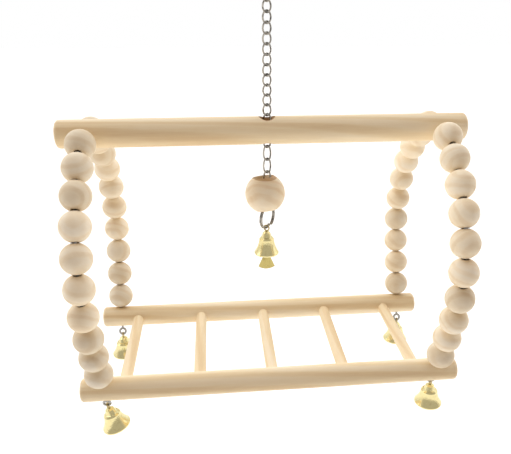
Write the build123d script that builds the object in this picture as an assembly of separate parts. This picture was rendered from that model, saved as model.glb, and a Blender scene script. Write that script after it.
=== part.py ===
"""Hanging bird play gym: a chain-hung perch, two beaded wire side arches, a ladder floor,
four corner bells and a centre drop with a wooden ball and a bell.

Units are millimetres. The origin is the seat inside the top of the quick link, where a cage
bar carries the toy. X runs along the perch, Y from front to rear, Z up.
"""
from build123d import *
import math
import os

# Quick link
link_rod = 3.0
link_inner_width = 9.5
link_inner_length = 28.0
link_gap = 5.0
link_turn = -55.0
sleeve_grip = 2.0
sleeve_across_flats = 5.6
sleeve_clearance = 0.05
sleeve_corner = 0.15
sleeve_bevel = 0.7
gap_below_middle = 2.4

# Chain
chain_wire = 1.2
chain_width = 6.4
chain_pitch = 6.6
chain_links = 13
drop_width = 6.1
drop_pitch = 9.2
drop_links = 6
chain_twist = 35.0
wire_play = 0.12

# Perch and its cross pin
perch_length = 284.0
perch_d = 19.3
perch_edge = 2.6
chain_bore_d = 11.0
pin_d = 2.0
pin_blind = 3.5
pin_play = 0.1

# Side arches
arch_inset = 19.0
arch_wire = 1.8
shoulder_radius = 29.0
shoulder_turn = 43.0
shoulder_run = 22.0
side_radius = 90.0
side_turn = 66.0
hole_fit = 0.05
eye_stem = 2.4
long_eye_stem = 7.4
eye_radius = 2.5

# Beads
bead_d = 20.0
bead_bore = 5.4
bead_gap = 0.45
beads_per_string = 10
bead_seat = 0.2
first_bead_gap = 0.5

# Ladder floor
rail_overhang = 15.0
rail_d = 16.8
rail_edge = 2.4
rung_d = 8.8
rung_inset = 15.0
rung_count = 5
rung_seat = 6.0

# Ball and split ring
ball_d = 29.0
ball_bore = 16.0
ball_lean = 11.0
ball_turn = -56.0
ball_lift = 1.0
ring_d = 18.5
ring_wire = 1.2
ring_coil_gap = 0.1
ring_start = -60.0
ring_foot = 270.0

# Bells
corner_bell_d = 21.0
corner_bell_height = 17.0
centre_bell_d = 18.4
centre_bell_height = 17.6
bell_wall = 0.7
bell_loop_wire = 1.0
corner_loop_radius = 1.9
centre_loop_radius = 2.1
inner_loop_radius = 1.5
front_left_lean = 14.0
clapper_thickness = 0.8
clapper_play = 0.35
clapper_neck = 2.8
corner_clapper_length = 11.5
corner_clapper_width = 7.0
corner_clapper_fan = 10.5
centre_clapper_length = 26.6
centre_clapper_width = 12.5
centre_clapper_fan = 13.0

# Values worked out from the sizes above
perch_r = perch_d / 2
rail_r = rail_d / 2
bead_r = bead_d / 2
wire_r = arch_wire / 2
bead_length = 2 * math.sqrt(bead_r**2 - (bead_bore / 2) ** 2)
bead_pitch = bead_length + bead_gap
arch_x = perch_length / 2 - arch_inset
rail_length = 2 * (arch_x + rail_overhang)
rung_pitch = 2 * (arch_x - rung_inset) / (rung_count - 1)


def save(name, *solids):
    """Write one node. Repeated solids share it."""
    shape = solids[0] if len(solids) == 1 else Compound(children=list(solids))
    shape.label = name
    export_step(shape, f"parts/{name}.step")


def rod_along(path, radius):
    """A round rod along an open path of tangent lines and arcs."""
    start = Plane(origin=path @ 0, z_dir=path % 0)
    return sweep(start * Circle(radius), path=path)


def torus_arc(start, tangent, end, radius):
    """A stretch of round wire along the arc that leaves start along tangent and meets end."""
    arc = TangentArc(start, end, tangent=tangent)
    axis = Axis(arc.arc_center, arc.normal())
    section = Plane(origin=start, z_dir=tangent) * Circle(radius)
    sweep_angle = math.degrees(arc.length / arc.radius)
    piece = revolve(section, axis, sweep_angle)
    away = revolve(section, axis, -sweep_angle)
    reaches = Vertex(*end).distance_to(piece) < Vertex(*end).distance_to(away)
    return (piece if reaches else away), arc % 1


def wire_through(points, tangents, radius):
    """Round wire through points with the tangents given, two arcs to each span."""
    wire = None
    for i in range(len(points) - 1):
        p0, p1, t0, t1 = points[i], points[i + 1], tangents[i], tangents[i + 1]
        chord = p1 - p0
        along = chord.dot(t0 + t1)
        bend = 2 * (1 - t0.dot(t1))
        reach = (math.sqrt(along**2 + bend * chord.dot(chord)) - along) / bend
        middle = (p0 + p1 + (t0 - t1) * reach) * 0.5
        first, turn = torus_arc(p0, t0, middle, radius)
        second, _ = torus_arc(middle, turn, p1, radius)
        wire = first + second if wire is None else wire + first + second
    return wire


def curb_link(pitch, width):
    """A curb chain link: an oval of wire, twisted about Z so that its two ends cross."""
    half_width = (width - chain_wire) / 2
    half_length = (inner_length(pitch) + chain_wire) / 2
    twist = math.radians(chain_twist)

    def place(angle):
        x, z = half_width * math.cos(angle), half_length * math.sin(angle)
        turn = twist * math.sin(angle)
        return Vector(x * math.cos(turn), x * math.sin(turn), z)

    def heading(angle):
        step = 1e-4
        return (place(angle + step) - place(angle - step)).normalized()

    angles = [math.radians(90 * quarter) for quarter in range(5)]
    return wire_through([place(a) for a in angles], [heading(a) for a in angles], chain_wire / 2)


def inner_length(pitch):
    """The opening of a link along the chain."""
    return pitch + wire_play


def hung_below(seat_z, pitch):
    """The centre of a link whose upper bow rests on the surface at seat_z."""
    return seat_z + wire_play + chain_wire / 2 - (inner_length(pitch) + chain_wire) / 2


# Quick link: a C of rod, closed on one side by its threaded sleeve
rod_r = link_rod / 2
side_x = (link_inner_width + link_rod) / 2
top_z = rod_r - side_x
bottom_z = -link_inner_length - rod_r + side_x
gap_z = (top_z + bottom_z) / 2 - link_gap / 2 - gap_below_middle
gap_top = gap_z + link_gap
quick_link_plane = Plane.XY.rotated((0, 0, link_turn))


def quick_link():
    path = Wire(
        [
            Line((side_x, 0, gap_top), (side_x, 0, top_z)),
            ThreePointArc((side_x, 0, top_z), (0, 0, rod_r), (-side_x, 0, top_z)),
            Line((-side_x, 0, top_z), (-side_x, 0, bottom_z)),
            ThreePointArc(
                (-side_x, 0, bottom_z), (0, 0, -link_inner_length - rod_r), (side_x, 0, bottom_z)
            ),
            Line((side_x, 0, bottom_z), (side_x, 0, gap_z)),
        ]
    )
    return quick_link_plane * rod_along(path, rod_r)


def quick_link_sleeve():
    length = link_gap + 2 * sleeve_grip
    foot = Plane(origin=(side_x, 0, gap_z - sleeve_grip))
    hexagon = RegularPolygon(sleeve_across_flats / 2, 6, major_radius=False)
    blank = foot * extrude(hexagon - Circle(rod_r + sleeve_clearance), length)
    bar = Cylinder(sleeve_across_flats / 2 + sleeve_corner, length)
    rounded = Pos(0, 0, length / 2) * chamfer(bar.edges(), sleeve_bevel)
    return quick_link_plane * (blank & foot * rounded)


sleeve_travel = link_gap + sleeve_grip

# Chain stations from the quick link down to the pin in the perch
link_seats = [-link_inner_length]
link_centres = []
for _ in range(chain_links + 1):
    link_centres.append(hung_below(link_seats[-1], chain_pitch))
    link_seats.append(link_centres[-1] - inner_length(chain_pitch) / 2)
pin_z = link_seats[-1] + wire_play + chain_wire + pin_play + pin_d / 2
perch_z = pin_z

drop_seats = [link_seats[-1]]
drop_centres = []
for _ in range(drop_links):
    drop_centres.append(hung_below(drop_seats[-1], drop_pitch))
    drop_seats.append(drop_centres[-1] - inner_length(drop_pitch) / 2)


# Arch wire: its route in the plane of one side, from the perch outward and down
class Route:
    """A route of straight runs and arcs, followed by its length from the perch's surface."""

    def __init__(self, sign):
        self.sign = sign
        self.runs = [
            (0.0, 0.0, bead_seat),
            (shoulder_turn, shoulder_radius, None),
            (0.0, 0.0, shoulder_run),
            (side_turn, side_radius, None),
            (0.0, 0.0, 400.0),
        ]

    def at(self, distance):
        """The point and the heading below the horizontal at a distance along the route."""
        y, z, heading = perch_r, perch_z, 0.0
        for turn, radius, length in self.runs:
            reach = math.radians(turn) * radius if length is None else length
            step = min(distance, reach)
            if radius:
                swung = step / radius
                y += radius * (math.sin(heading + swung) - math.sin(heading))
                z -= radius * (math.cos(heading) - math.cos(heading + swung))
                heading += swung
            else:
                y += step * math.cos(heading)
                z -= step * math.sin(heading)
            distance -= step
            if distance <= 0:
                break
        return Vector(0, self.sign * y, z), heading

    def corners(self):
        """The distances at which the route changes from run to arc and back."""
        out, total = [], 0.0
        for turn, radius, length in self.runs[:-1]:
            total += math.radians(turn) * radius if length is None else length
            out.append(total)
        return out


front, rear = Route(-1), Route(1)
string_start = bead_seat + first_bead_gap
string_end = string_start + beads_per_string * bead_pitch - bead_gap
rail_reach = string_end + bead_seat + rail_r
rail_point, rail_heading = rear.at(rail_reach)
rail_y, rail_z = rail_point.Y, rail_point.Z


def eye_reach(x, route):
    """The route's length to the centre of an eye. The front left wire end was left longer."""
    stem = long_eye_stem if x < 0 and route is front else eye_stem
    return rail_reach + rail_r + stem + eye_radius


def bead():
    """A round wooden bead with a straight bore along Z."""
    return Sphere(bead_r) - Cylinder(bead_bore / 2, bead_d)


def bead_string(x, route):
    """The beads of one half of an arch, each lined up with the wire inside it."""
    blank = bead()
    beads = []
    for i in range(beads_per_string):
        middle = string_start + i * bead_pitch + bead_length / 2
        ends = [route.at(middle + half)[0] for half in (-bead_length / 2, bead_length / 2)]
        centre = ((ends[0] + ends[1]) * 0.5 + route.at(middle)[0]) * 0.5
        beads.append(Plane(origin=centre + Vector(x, 0, 0), z_dir=ends[1] - ends[0]) * blank)
    return beads


def arch_wire_rod(x):
    """One arch's wire: through the perch, down both sides, through both rails to its two eyes."""
    edges = [Line((x, -perch_r, perch_z), (x, perch_r, perch_z))]
    eyes = []
    for route in (front, rear):
        stops = [0.0] + route.corners() + [eye_reach(x, route) - eye_radius]
        for start, stop in zip(stops, stops[1:]):
            middle = route.at((start + stop) / 2)[0] + Vector(x, 0, 0)
            a, b = route.at(start)[0] + Vector(x, 0, 0), route.at(stop)[0] + Vector(x, 0, 0)
            bent = abs(route.at(start)[1] - route.at(stop)[1]) > 1e-6
            edges.append(ThreePointArc(a, middle, b) if bent else Line(a, b))
        centre, heading = eye_at(x, route)
        normal = Vector(0, math.sin(heading), route.sign * math.cos(heading))
        eyes.append(Plane(origin=centre, z_dir=normal) * Torus(eye_radius, wire_r))
    path = Wire(edges)
    return rod_along(path, wire_r) + eyes


def eye_at(x, route):
    """The centre of the eye under a rail, and the wire's heading there."""
    point, heading = route.at(eye_reach(x, route))
    return point + Vector(x, 0, 0), heading


def bell_seat(x, route):
    """The middle of the eye's wire where a bell's loop hangs."""
    centre, heading = eye_at(x, route)
    return centre + Vector(0, route.sign * math.cos(heading), -math.sin(heading)) * eye_radius


def dowel(length, diameter, edge):
    """A wooden dowel along X with rounded ends."""
    rod = Rot(0, 90, 0) * Cylinder(diameter / 2, length)
    return fillet(rod.edges().filter_by(GeomType.CIRCLE), edge)


def top_perch():
    perch = Pos(0, 0, perch_z) * dowel(perch_length, perch_d, perch_edge)
    perch -= Pos(0, 0, perch_z) * Cylinder(chain_bore_d / 2, perch_d * 1.2)
    for x in (-arch_x, arch_x):
        perch -= Pos(x, 0, perch_z) * Rot(90, 0, 0) * Cylinder(wire_r + hole_fit, perch_d * 1.2)
    return perch - rod_from_rear(pin_d / 2 + hole_fit, perch_r - pin_blind + hole_fit, perch_d)


def rod_from_rear(radius, front_reach, rear_reach):
    """A round rod across the perch at the pin's height, along Y."""
    length = front_reach + rear_reach
    return Pos(0, (rear_reach - front_reach) / 2, pin_z) * Rot(90, 0, 0) * Cylinder(radius, length)


def cross_pin():
    """The pin driven in from the rear, across the chain's bore. It stops short of the front."""
    return rod_from_rear(pin_d / 2, perch_r - pin_blind, perch_r)


def rail(route):
    side = Pos(0, route.sign * rail_y, rail_z) * dowel(rail_length, rail_d, rail_edge)
    for x in (-arch_x, arch_x):
        centre = Vector(x, route.sign * rail_y, rail_z)
        along = Vector(0, route.sign * math.cos(rail_heading), -math.sin(rail_heading))
        side -= Plane(origin=centre, z_dir=along) * Cylinder(wire_r + hole_fit, rail_d * 1.2)
    for x in rung_places():
        socket = Rot(90, 0, 0) * Cylinder(rung_d / 2 + hole_fit, 2 * rung_seat + 2 * hole_fit)
        side -= Pos(x, route.sign * (rail_y - rail_r), rail_z) * socket
    return side


def rung_places():
    return [(i - (rung_count - 1) / 2) * rung_pitch for i in range(rung_count)]


def rung(x):
    length = 2 * (rail_y - rail_r + rung_seat)
    return Pos(x, 0, rail_z) * Rot(90, 0, 0) * Cylinder(rung_d / 2, length)


# Centre drop: the ring hangs turned across the last link, and the ball sits on its shoulders
ring_major = (ring_d - ring_wire) / 2
ring_turn = 90.0 - chain_twist
coil_pitch = ring_wire + ring_coil_gap
ring_width = coil_pitch + ring_wire
last_half_width = (drop_width - chain_wire) / 2 - chain_wire / 2
last_half_length = inner_length(drop_pitch) / 2
ring_drop = last_half_length * math.sqrt(1 - (ring_width / 2 / last_half_width) ** 2)
ring_z = drop_centres[-1] - ring_drop + wire_play + ring_wire / 2 - ring_major
ring_shoulder = math.sqrt((ring_d / 2) ** 2 - (ball_bore / 2) ** 2)
ball_half = math.sqrt((ball_d / 2) ** 2 - (ball_bore / 2) ** 2)
ball_pivot_z = ring_z + ring_shoulder + ball_lift
ring_bottom_z = ring_z - ring_major
bottom_shift = coil_pitch * ((ring_foot - ring_start) / 360 - 0.5)


def split_ring():
    """A split ring: one wire wound in two turns that lie side by side."""
    quarters = 8

    def place(quarter):
        angle = math.radians(90 * quarter + ring_start)
        rise = coil_pitch * (quarter / 4 - 1)
        return Vector(ring_major * math.cos(angle), rise, ring_major * math.sin(angle))

    def heading(quarter):
        step = 1e-4
        return (place(quarter + step) - place(quarter - step)).normalized()

    stations = range(quarters + 1)
    coil = wire_through([place(q) for q in stations], [heading(q) for q in stations], ring_wire / 2)
    return Pos(0, 0, ring_z) * Rot(0, 0, ring_turn) * coil


def ball():
    """The wooden ball, leaning on the chain that runs through its wide bore."""
    blank = Sphere(ball_d / 2) - Cylinder(ball_bore / 2, ball_d)
    tilt = Rot(0, 0, ball_turn) * Rot(0, -ball_lean, 0)
    return Pos(0, 0, ball_pivot_z) * tilt * Pos(0, 0, ball_half) * blank


def bell_cup(diameter, height):
    """A flared bell with a stepped cap, its lip at z = 0 and its cap's top at z = height."""

    def outline(wall):
        lip = (diameter / 2 - wall, 0)
        rim = (diameter / 2 - wall, 0.05 * height)
        waist = (0.36 * diameter - wall, 0.36 * height)
        shoulder = (0.30 * diameter - wall, 0.66 * height - wall)
        step = (0.245 * diameter - wall, 0.735 * height - wall)
        cap_base = (0.205 * diameter - wall, 0.75 * height - wall)
        cap_side = (0.155 * diameter - wall, 0.93 * height - wall)
        cap_top = (0.09 * diameter - wall, height - wall)
        return lip, rim, waist, shoulder, step, cap_base, cap_side, cap_top

    def solid(wall):
        lip, rim, waist, shoulder, step, cap_base, cap_side, cap_top = outline(wall)
        edges = [
            Line((0, 0), lip),
            Line(lip, rim),
            ThreePointArc(rim, waist, shoulder),
            Line(shoulder, step),
            Line(step, cap_base),
            Line(cap_base, cap_side),
            Line(cap_side, cap_top),
            Line(cap_top, (0, height - wall)),
            Line((0, height - wall), (0, 0)),
        ]
        return revolve(Plane.XZ * make_face(edges), Axis.Z)

    hole = Cylinder(bell_loop_wire / 2 + hole_fit, 4 * height)
    return solid(0) - solid(bell_wall) - hole


def loop_drop(loop_radius, carrier_r, carrier_spread):
    """How far the centre of a bell's loop hangs below the middle of the wires that carry it."""
    reach = loop_radius - bell_loop_wire / 2 - carrier_r - wire_play
    return math.sqrt(reach**2 - (carrier_spread / 2) ** 2)


def bell_pieces(seat, diameter, height, loop_radius, carrier_r, carrier_spread, heading, lean, clapper):
    """A bell's cup, its loop wire and its clapper, hung at seat.

    heading turns the upper loop about Z. The lower loop and the clapper still face the front.
    """
    loop_r = bell_loop_wire / 2
    loop_z = -loop_drop(loop_radius, carrier_r, carrier_spread)
    cap_z = loop_z - loop_radius - loop_r - hole_fit
    inner_z = cap_z - bell_wall - hole_fit - loop_r - inner_loop_radius
    facing = Rot(0, 0, -heading)
    upper = Pos(0, 0, loop_z) * Rot(0, 90, 0) * Torus(loop_radius, loop_r)
    lower = facing * Pos(0, 0, inner_z) * Rot(0, 90, 0) * Torus(inner_loop_radius, loop_r)
    stem_length = loop_z - loop_radius - inner_z - inner_loop_radius
    stem = Pos(0, 0, (loop_z - loop_radius + inner_z + inner_loop_radius) / 2)
    loop = upper + lower + stem * Cylinder(loop_r, stem_length)
    cup = Pos(0, 0, cap_z - height) * bell_cup(diameter, height)
    hang = Pos(*seat) * Rot(0, -lean, 0) * Rot(0, 0, heading)
    pivot = facing * Pos(0, 0, inner_z - inner_loop_radius)
    return hang * cup, hang * loop, hang * (pivot * clapper), hang * pivot


def flat_clapper(length, width, fan_height):
    """A stamped clapper: a narrow strip with an eye at its top and a fan at its foot."""
    eye_r = clapper_neck / 2 + 0.5
    hole_r = bell_loop_wire / 2 + clapper_play
    neck_z = -(length - fan_height)
    half, neck = width / 2, clapper_neck / 2
    foot_z = -length + 0.16 * width
    fan = make_face(
        [
            Line((-neck, 0), (neck, 0)),
            Line((neck, 0), (neck, neck_z)),
            Line((neck, neck_z), (half, foot_z)),
            ThreePointArc((half, foot_z), (0, -length), (-half, foot_z)),
            Line((-half, foot_z), (-neck, neck_z)),
            Line((-neck, neck_z), (-neck, 0)),
        ]
    )
    outline = fan + Circle(eye_r) - Circle(hole_r)
    raise_eye = Pos(0, 0, wire_play - clapper_play)
    return raise_eye * extrude(Plane.XZ * outline, clapper_thickness / 2, both=True)


corner_sites = {
    "front_left": (-arch_x, front, front_left_lean),
    "front_right": (arch_x, front, 0.0),
    "rear_left": (-arch_x, rear, 0.0),
    "rear_right": (arch_x, rear, 0.0),
}
bell_seats = {}
clapper_pivots = {}


def build():
    os.makedirs("parts", exist_ok=True)
    save("quick_link", quick_link())
    save("quick_link_sleeve", quick_link_sleeve())

    upper_link = curb_link(chain_pitch, chain_width)
    for number, z in enumerate(link_centres, 1):
        save(f"chain_link_{number:02d}", Pos(0, 0, z) * upper_link)
    lower_link = curb_link(drop_pitch, drop_width)
    for number, z in enumerate(drop_centres, 1):
        save(f"drop_link_{number:02d}", Pos(0, 0, z) * lower_link)

    save("cross_pin", cross_pin())
    save("top_perch", top_perch())
    for side, x in (("left", -arch_x), ("right", arch_x)):
        save(f"{side}_arch_wire", arch_wire_rod(x))
        for end, route in (("front", front), ("rear", rear)):
            save(f"{end}_{side}_beads", *bead_string(x, route))
    save("front_rail", rail(front))
    save("rear_rail", rail(rear))
    for number, x in enumerate(rung_places(), 1):
        save(f"rung_{number}", rung(x))

    save("wooden_ball", ball())
    save("split_ring", split_ring())
    fan = flat_clapper(centre_clapper_length, centre_clapper_width, centre_clapper_fan)
    seat = Vector(0, 0, ring_bottom_z) + Vector(0, bottom_shift, 0).rotate(Axis.Z, ring_turn)
    cup, loop, clapper, pivot = bell_pieces(
        seat,
        centre_bell_d,
        centre_bell_height,
        centre_loop_radius,
        ring_wire / 2,
        coil_pitch,
        ring_turn,
        0,
        fan,
    )
    bell_seats["centre"], clapper_pivots["centre"] = seat, pivot.position
    save("centre_bell", cup)
    save("centre_bell_loop", loop)
    save("centre_bell_clapper", clapper)

    fan = flat_clapper(corner_clapper_length, corner_clapper_width, corner_clapper_fan)
    for site, (x, route, lean) in corner_sites.items():
        seat = bell_seat(x, route)
        cup, loop, clapper, pivot = bell_pieces(
            seat, corner_bell_d, corner_bell_height, corner_loop_radius, wire_r, 0, 0, lean, fan
        )
        bell_seats[site], clapper_pivots[site] = seat, pivot.position
        save(f"{site}_bell", cup)
        save(f"{site}_bell_loop", loop)
        save(f"{site}_bell_clapper", clapper)


build()
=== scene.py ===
"""Looks of the hanging bird play gym: plain sanded wood, bright chain and pale brass bells.

Every CAD node keeps its own mesh. This script gives each one a material, and adds the camera,
the floor and the lights.
"""

import math

import bpy
from mathutils import Matrix, Vector


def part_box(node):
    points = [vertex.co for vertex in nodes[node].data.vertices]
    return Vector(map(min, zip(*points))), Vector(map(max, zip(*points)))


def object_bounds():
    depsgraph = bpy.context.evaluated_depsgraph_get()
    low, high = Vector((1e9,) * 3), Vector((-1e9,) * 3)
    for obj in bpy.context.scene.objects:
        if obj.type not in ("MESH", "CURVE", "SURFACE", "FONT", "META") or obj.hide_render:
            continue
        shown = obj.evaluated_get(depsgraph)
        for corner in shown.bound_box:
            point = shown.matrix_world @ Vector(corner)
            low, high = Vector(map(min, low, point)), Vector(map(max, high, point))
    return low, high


MM = 0.001

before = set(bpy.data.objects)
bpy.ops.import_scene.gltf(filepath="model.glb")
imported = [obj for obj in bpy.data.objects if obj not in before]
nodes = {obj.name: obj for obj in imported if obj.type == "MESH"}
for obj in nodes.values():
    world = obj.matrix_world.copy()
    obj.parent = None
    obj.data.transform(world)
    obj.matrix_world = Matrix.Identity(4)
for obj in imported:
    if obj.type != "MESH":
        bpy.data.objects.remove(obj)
cad_low, cad_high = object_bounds()

# The photograph's camera, fitted to the bead centres and dowel edges
PHOTO_WIDTH = 511.0
FOCAL_PIXELS = 581.9
# The photograph's crop puts the lens axis this far right of and below its middle, in pixels
AXIS_RIGHT = 20.0
AXIS_DOWN = 17.0
SENSOR = 36.0
CAMERA_PLACE = Vector((-35.8, -400.1, -25.2)) * MM
CAMERA_YAW = -6.01
CAMERA_PITCH = -24.07
CAMERA_ROLL = -0.25

# Wood colours, from the lit side to the grain lines
DOWEL_TONES = ("#FAEDD3", "#F0DBB4", "#DBBB8B")
BEAD_TONES = ("#FAF1DE", "#F3E3C6", "#E0C8A2")
BALL_TONES = ("#FCF3E0", "#F7E6C8", "#E6CBA2")
# Painted shade of the holes in the perch and the ball: their bore walls darken towards this brown
BORE_SHADE_BROWN = "#B98B55"

# Reach of the painted bore shade: its radius in each hole, how far past that radius it fades out,
# and how much of the brown it puts on
PERCH_BORE_RADIUS = 5.7 * MM
BALL_BORE_RADIUS = 8.2 * MM
BORE_SHADE_EDGE = 1.06
BORE_SHADE_SHARE = 0.7

# Scales of the wood's grain, and how deep its fibres are
WARP_SCALE = 45.0
WARP_REACH = 0.004
BROAD_SCALE = 70.0
FIBRE_SCALE = 1500.0
RING_SCALE = 62.0
PORE_SCALE = 2600.0
PORE_SHARE = 0.18
FIBRE_DEPTH = 0.06 * MM

# Scales of the metals' scratches, turning lines, dents and grime
SCRATCH_SCALE = 900.0
SCRATCH_DEPTH = 0.01 * MM
TURNING_SCALE = 330.0
DENT_SCALE = 130.0
GRIME_SCALE = 420.0
GRIME_SHARE = 0.3
DENT_DEPTH = 0.05 * MM


def linear(code):
    """A colour written as #RRGGBB, as the linear values that a shader takes."""
    values = [int(code[i : i + 2], 16) / 255 for i in (1, 3, 5)]
    return (*[v / 12.92 if v <= 0.04045 else ((v + 0.055) / 1.055) ** 2.4 for v in values], 1.0)


class Graph:
    """A node tree, built one call to a node."""

    def __init__(self, owner):
        self.owner = owner
        owner.use_nodes = True
        self.tree = owner.node_tree

    def node(self, kind, output=0, settings=None, **inputs):
        """A new node. Spaces in input names are underscores. Returns an output socket, if any."""
        made = self.tree.nodes.new(kind)
        for key, value in (settings or {}).items():
            setattr(made, key, value)
        for key, value in inputs.items():
            self.plug(made.inputs[self.place(key)], value)
        return None if output is None else made.outputs[output]

    @staticmethod
    def place(key):
        return int(key[1:]) if key[0] == "i" and key[1:].isdigit() else key.replace("_", " ")

    def plug(self, socket, value):
        if isinstance(value, bpy.types.NodeSocket):
            self.tree.links.new(value, socket)
        else:
            socket.default_value = value

    def math(self, operation, *values):
        inputs = {f"i{n}": v for n, v in enumerate(values)}
        return self.node("ShaderNodeMath", settings={"operation": operation}, **inputs)

    def vector(self, operation, *values, output=0, **more):
        inputs = {**{f"i{n}": v for n, v in enumerate(values)}, **more}
        settings = {"operation": operation}
        return self.node("ShaderNodeVectorMath", output=output, settings=settings, **inputs)

    def mix(self, share, a, b, blend="MIX"):
        settings = {"data_type": "RGBA", "blend_type": blend}
        return self.node("ShaderNodeMix", 2, settings, Factor=share, i6=a, i7=b)

    def noise(self, coordinates, scale, detail=3.0, roughness=0.55, distortion=0.0):
        return self.node(
            "ShaderNodeTexNoise",
            Vector=coordinates,
            Scale=scale,
            Detail=detail,
            Roughness=roughness,
            Distortion=distortion,
        )

    def step(self, value, low, high, to_low=0.0, to_high=1.0):
        """value carried from low..high to to_low..to_high with soft ends."""
        settings = {"interpolation_type": "SMOOTHSTEP"}
        return self.node(
            "ShaderNodeMapRange", 0, settings, Value=value, i1=low, i2=high, i3=to_low, i4=to_high
        )

    def ramp(self, value, stops):
        made = self.tree.nodes.new("ShaderNodeValToRGB")
        points = made.color_ramp.elements
        while len(points) < len(stops):
            points.new(0.5)
        for point, (place, colour) in zip(points, stops):
            point.position = place
            point.color = colour
        self.tree.links.new(value, made.inputs[0])
        return made.outputs[0]

    def bump(self, height, distance, strength=1.0):
        return self.node("ShaderNodeBump", Height=height, Distance=distance, Strength=strength)

    def finish(self, **inputs):
        shader = self.tree.nodes["Principled BSDF"]
        for key, value in inputs.items():
            self.plug(shader.inputs[self.place(key)], value)
        return self.owner


def material_graph(name):
    return Graph(bpy.data.materials.new(name))


def object_place(graph):
    return graph.node("ShaderNodeTexCoord", 3)


def wood(name, tones, grain, loose_pieces=False, bore=None, offset=0.0):
    """Sanded pale wood. grain is the stretch along X, Y and Z, small along the fibres.

    loose_pieces turns and tints each bead by itself. bore is (centre, radius) of a hole along Z
    whose wall, with a thin ring just past its rim, is darkened brown as painted shade.
    """
    g = material_graph(name)
    place = object_place(g)
    spot = g.vector("ADD", place, (offset, offset * 0.7, offset * 1.3))
    tint = None
    if loose_pieces:
        tint = g.node("ShaderNodeNewGeometry", 8)
        turned = g.node(
            "ShaderNodeVectorRotate",
            settings={"rotation_type": "X_AXIS"},
            Vector=place,
            Angle=g.math("MULTIPLY", tint, 2 * math.pi),
        )
        spot = g.vector("ADD", turned, g.node("ShaderNodeCombineXYZ", X=tint, Y=tint, Z=tint))
    along = g.vector("MULTIPLY", spot, grain)
    warp = g.noise(along, WARP_SCALE, 2.0)
    warped = g.vector("ADD", along, g.vector("SCALE", warp, i3=WARP_REACH))
    broad = g.noise(warped, BROAD_SCALE, 3.0, 0.6)
    fibres = g.noise(along, FIBRE_SCALE, 4.0, 0.6)
    rings = g.node(
        "ShaderNodeTexWave",
        1,
        {"wave_type": "BANDS", "bands_direction": "DIAGONAL", "wave_profile": "SIN"},
        Vector=warped,
        Scale=RING_SCALE,
        Distortion=5.0,
        Detail=2.0,
        Detail_Scale=0.7,
    )
    pores = g.step(g.noise(along, PORE_SCALE, 1.0), 0.66, 0.78)
    tone = g.math("MULTIPLY_ADD", broad, 0.9, -0.12)
    tone = g.math("MULTIPLY_ADD", g.step(rings, 0.35, 1.0), 0.22, tone)
    tone = g.math("MULTIPLY_ADD", fibres, 0.25, tone)
    light, middling, dark = [linear(tone_code) for tone_code in tones]
    colour = g.ramp(tone, [(0.18, light), (0.55, middling), (1.0, dark)])
    colour = g.mix(g.math("MULTIPLY", pores, PORE_SHARE), colour, dark)
    if tint is not None:
        shade = g.step(tint, 0.0, 1.0, 0.9, 1.04)
        grey = g.node("ShaderNodeCombineColor", Red=shade, Green=shade, Blue=shade)
        colour = g.mix(1.0, colour, grey, "MULTIPLY")
    # Painted shade of the hole: the bore wall and a thin ring just past its rim are darkened
    # towards brown
    if bore:
        centre, radius = bore
        apart = g.vector("SUBTRACT", place, centre)
        flat = g.vector("MULTIPLY", apart, (1.0, 1.0, 0.0))
        reach = g.vector("LENGTH", flat, output=1)
        bore_shade = g.step(reach, radius, radius * BORE_SHADE_EDGE, 1.0, 0.0)
        colour = g.mix(g.math("MULTIPLY", bore_shade, BORE_SHADE_SHARE), colour, linear(BORE_SHADE_BROWN))
    height = g.math("MULTIPLY_ADD", pores, -0.6, g.math("MULTIPLY", fibres, 0.5))
    return g.finish(
        Base_Color=colour,
        Roughness=g.step(fibres, 0.3, 0.7, 0.5, 0.66),
        Specular_IOR_Level=0.32,
        Normal=g.bump(height, FIBRE_DEPTH, 0.6),
    )


def metal(name, colour, dark, roughness, wear=0.25, patch=160.0):
    """Plated metal with fine scratches and a little tarnish."""
    g = material_graph(name)
    place = object_place(g)
    patches = g.noise(place, patch, 3.0, 0.6)
    streaks = g.noise(g.vector("MULTIPLY", place, (1.0, 1.0, 0.25)), SCRATCH_SCALE, 4.0, 0.65)
    tarnish = g.math("MULTIPLY", g.step(patches, 0.48, 0.72), wear)
    base = g.mix(tarnish, linear(colour), linear(dark))
    rough = g.step(streaks, 0.35, 0.75, roughness * 0.75, roughness * 1.45)
    return g.finish(
        Base_Color=base,
        Metallic=1.0,
        Roughness=rough,
        Normal=g.bump(g.math("MULTIPLY_ADD", patches, 0.6, streaks), SCRATCH_DEPTH, 0.5),
    )


def bell_metal(name, colour, dark, roughness):
    """Pressed brass plate, with faint turning lines round the bell and dents a hand can feel."""
    g = material_graph(name)
    place = object_place(g)
    lines = g.node(
        "ShaderNodeTexWave",
        1,
        {"wave_type": "BANDS", "bands_direction": "Z"},
        Vector=place,
        Scale=TURNING_SCALE,
        Distortion=0.6,
        Detail=1.0,
    )
    dents = g.noise(place, DENT_SCALE, 2.0, 0.5)
    grime = g.noise(place, GRIME_SCALE, 4.0, 0.6)
    share = g.math("MULTIPLY", g.step(grime, 0.5, 0.75), GRIME_SHARE)
    base = g.mix(share, linear(colour), linear(dark))
    rough = g.step(grime, 0.3, 0.8, roughness * 0.8, roughness * 1.7)
    height = g.math("MULTIPLY_ADD", dents, 6.0, g.math("MULTIPLY", lines, 0.35))
    return g.finish(
        Base_Color=base, Metallic=1.0, Roughness=rough, Normal=g.bump(height, DENT_DEPTH, 0.6)
    )


def middle(name):
    low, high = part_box(name)
    return (low + high) / 2


ALONG_X = (0.05, 1.0, 1.0)
ALONG_Y = (1.0, 0.06, 1.0)
ROUND = (0.35, 1.0, 1.0)

perch_middle = middle("top_perch")
ball_middle = middle("wooden_ball")

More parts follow.
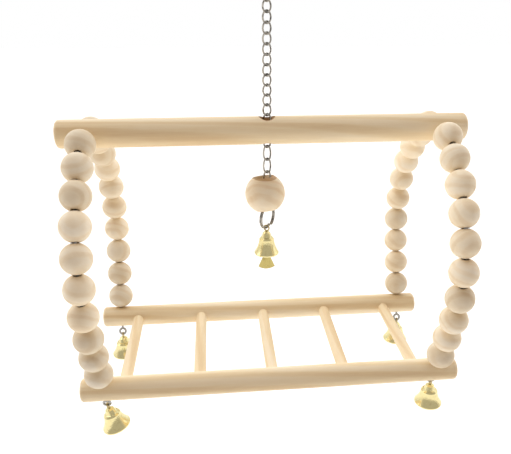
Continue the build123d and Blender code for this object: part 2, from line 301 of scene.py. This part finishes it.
perch_wood = wood("perch_wood", DOWEL_TONES, ALONG_X, bore=(perch_middle, PERCH_BORE_RADIUS))
rail_wood = wood("rail_wood", DOWEL_TONES, ALONG_X, offset=0.3)
rung_wood = wood("rung_wood", DOWEL_TONES, ALONG_Y, offset=0.7)
bead_wood = wood("bead_wood", BEAD_TONES, ROUND, loose_pieces=True)
ball_wood = wood("ball_wood", BALL_TONES, ROUND, bore=(ball_middle, BALL_BORE_RADIUS), offset=0.2)
nickel = metal("nickel", "#A9A59D", "#2E2A26", 0.12, wear=0.85, patch=420.0)
zinc = metal("zinc", "#C4C6C8", "#8A8C8E", 0.22)
wire = metal("wire", "#A9A9A8", "#6F6D69", 0.3)
brass = bell_metal("bell_brass", "#E9DDA6", "#B09A5C", 0.13)
clapper_brass = metal("clapper_brass", "#BFB070", "#7E6C36", 0.3, wear=0.5)
loop_brass = metal("loop_brass", "#B9A777", "#6E6240", 0.24, wear=0.4)

FINISHES = (
    ("quick_link", zinc),
    ("chain_link", nickel),
    ("drop_link", nickel),
    ("split_ring", nickel),
    ("top_perch", perch_wood),
    ("cross_pin", wire),
    ("front_rail", rail_wood),
    ("rear_rail", rail_wood),
    ("rung", rung_wood),
    ("wooden_ball", ball_wood),
)
ENDINGS = (
    ("_arch_wire", wire),
    ("_beads", bead_wood),
    ("_bell_clapper", clapper_brass),
    ("_bell_loop", loop_brass),
    ("_bell", brass),
)


def finish_of(name):
    for start, material in FINISHES:
        if name.startswith(start):
            return material
    for ending, material in ENDINGS:
        if name.endswith(ending):
            return material
    raise ValueError(name)


for name, piece in nodes.items():
    piece.data.materials.clear()
    piece.data.materials.append(finish_of(name))


# Floor, well below the bells, so that the toy hangs clear of it
FLOOR_DROP = 300 * MM
FLOOR_HALF = 6.0
FLOOR_GLOW = 0.35
floor_z = cad_low.z - FLOOR_DROP

floor_mesh = bpy.data.meshes.new("floor")
signs = ((-1, -1), (1, -1), (1, 1), (-1, 1))
corners = [(x * FLOOR_HALF, y * FLOOR_HALF, floor_z) for x, y in signs]
floor_mesh.from_pydata(corners, [], [(0, 1, 2, 3)])
floor = bpy.data.objects.new("floor", floor_mesh)
bpy.context.scene.collection.objects.link(floor)

floor_mesh.materials.append(
    material_graph("floor").finish(
        Base_Color=linear("#F4F3F1"),
        Roughness=0.9,
        Emission_Color=(1.0, 1.0, 1.0, 1.0),
        Emission_Strength=FLOOR_GLOW,
    )
)

# World: a white tent with a dimmer opening on the camera's side, as in a product photograph.
# Behind the object it is plain white, for the camera and in its metal and glass
TENT_WHITE = 1.4
OPENING_LEVEL = 0.1
OPENING_COLOUR = "#D8A070"
OPENING_TOWARDS = Vector((0.05, -1.0, -0.16)).normalized()
OPENING_EDGE = (-0.3, 0.5)
OPENING_IN_METAL = 0.5

world = bpy.data.worlds.new("studio")
bpy.context.scene.world = world
g = Graph(world)
g.tree.nodes.clear()
direction = g.vector("NORMALIZE", g.node("ShaderNodeTexCoord", 0))
facing = g.vector("DOT_PRODUCT", direction, OPENING_TOWARDS, output=1)
opening = g.step(facing, *OPENING_EDGE)
tent_colour = g.mix(opening, linear("#FFFFFF"), linear(OPENING_COLOUR))
tent_level = g.math("MULTIPLY", g.step(opening, 0.0, 1.0, 1.0, OPENING_LEVEL), TENT_WHITE)
tent = g.node("ShaderNodeBackground", Color=tent_colour, Strength=tent_level)
paper = g.node("ShaderNodeBackground", Color=(1.0, 1.0, 1.0, 1.0), Strength=1.0)
rays = g.tree.nodes.new("ShaderNodeLightPath").outputs
behind = g.math("GREATER_THAN", g.vector("DOT_PRODUCT", direction, (0.0, 1.0, 0.0), output=1), 0.0)
glossy = rays["Is Glossy Ray"]
bent = g.math("MAXIMUM", glossy, rays["Is Transmission Ray"])
mirrored = g.math("MULTIPLY", bent, behind)
reflected = g.math("MAXIMUM", mirrored, g.math("MULTIPLY", glossy, OPENING_IN_METAL))
seen = g.math("MAXIMUM", rays["Is Camera Ray"], reflected)
sky = g.node("ShaderNodeMixShader", Fac=seen, i1=tent, i2=paper)
g.node("ShaderNodeOutputWorld", None, Surface=sky)

# Lamps: (name, place, size, power), all aimed at the middle of the object
centre = (cad_low + cad_high) / 2
LAMPS = (
    ("left", (-0.9, 0.1, 0.6), 0.8, 1.5),
    ("right", (0.95, 0.15, 0.35), 0.8, 0.7),
    ("top", (0.0, 0.0, 1.1), 0.9, 2.2),
)
for name, place, size, power in LAMPS:
    lamp = bpy.data.lights.new(name, "AREA")
    lamp.shape = "SQUARE"
    lamp.size = size
    lamp.energy = power
    holder = bpy.data.objects.new(name, lamp)
    holder.location = centre + Vector(place)
    holder.rotation_euler = (-Vector(place)).to_track_quat("-Z", "Y").to_euler()
    bpy.context.scene.collection.objects.link(holder)

lens = bpy.data.cameras.new("camera")
lens.sensor_width = SENSOR
lens.lens = FOCAL_PIXELS / PHOTO_WIDTH * SENSOR
lens.shift_x = -AXIS_RIGHT / PHOTO_WIDTH
lens.shift_y = AXIS_DOWN / PHOTO_WIDTH
lens.clip_start = 10 * MM
camera = bpy.data.objects.new("camera", lens)
bpy.context.scene.collection.objects.link(camera)
turns = (("Z", CAMERA_YAW), ("X", CAMERA_PITCH), ("Y", CAMERA_ROLL), ("X", 90.0))
pose = Matrix.Translation(CAMERA_PLACE)
for axis, degrees in turns:
    pose = pose @ Matrix.Rotation(math.radians(degrees), 4, axis)
camera.matrix_world = pose
bpy.context.scene.camera = camera

bpy.context.scene.view_settings.view_transform = "Standard"
